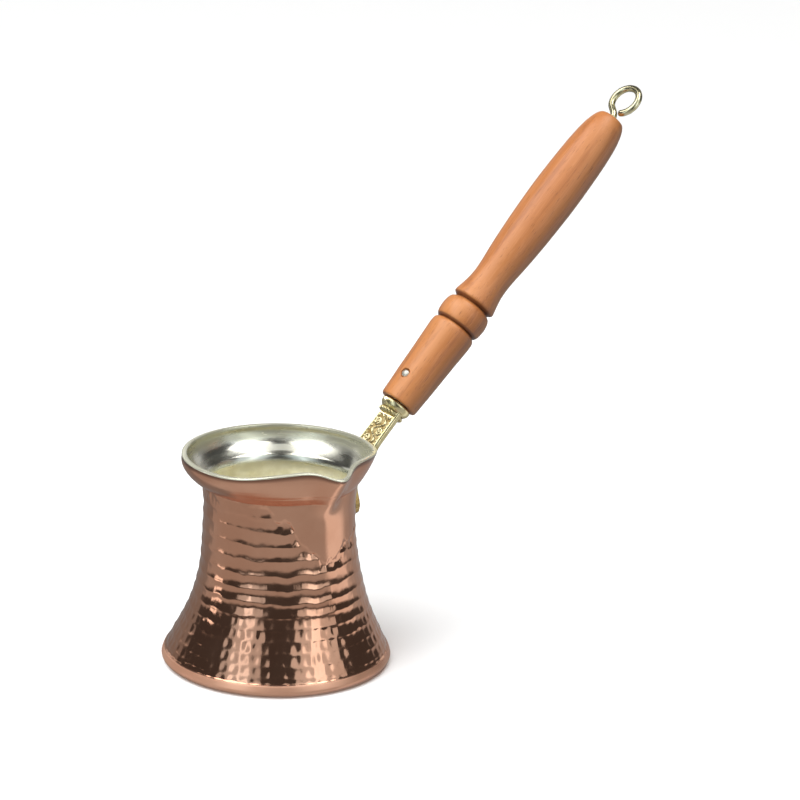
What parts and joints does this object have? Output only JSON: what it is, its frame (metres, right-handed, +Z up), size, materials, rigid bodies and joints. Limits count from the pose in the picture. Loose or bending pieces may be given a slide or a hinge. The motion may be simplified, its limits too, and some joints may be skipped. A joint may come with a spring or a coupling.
{
  "type": "turkish coffee pot",
  "caption": "Hammered copper coffee pot with a tinned inside, a pinched spout and a long turned wooden handle on a brass bracket, with a hanging eye at its end.",
  "frame": {"origin": "centre of the pot's flat base, on the surface it stands on", "axes": "+Z up along the pot's axis, +X from the pot's axis towards the handle, the spout points to -Y"},
  "size_m": [0.1983, 0.0844, 0.199],
  "materials": {
    "hammered_copper": "polished copper, hammered in rows, with a smooth collar and foot",
    "tin": "bright wiped tin with fine turning lines",
    "cast_brass": "cast pale brass with a scroll relief on its face",
    "rivet_copper": "domed copper, satin",
    "stained_wood": "turned wood, stained warm brown, satin varnish",
    "pin_metal": "filed flush, satin",
    "brassed_wire": "bright brass-plated steel wire"
  },
  "bodies": {
    "root": {"pot_body": "hammered_copper", "tin_lining": "tin", "handle_bracket": "cast_brass", "rivet_upper": "rivet_copper", "rivet_lower": "rivet_copper", "wooden_handle": "stained_wood", "handle_pin": "pin_metal", "screw_eye": "brassed_wire"}
  },
  "joints": []
}
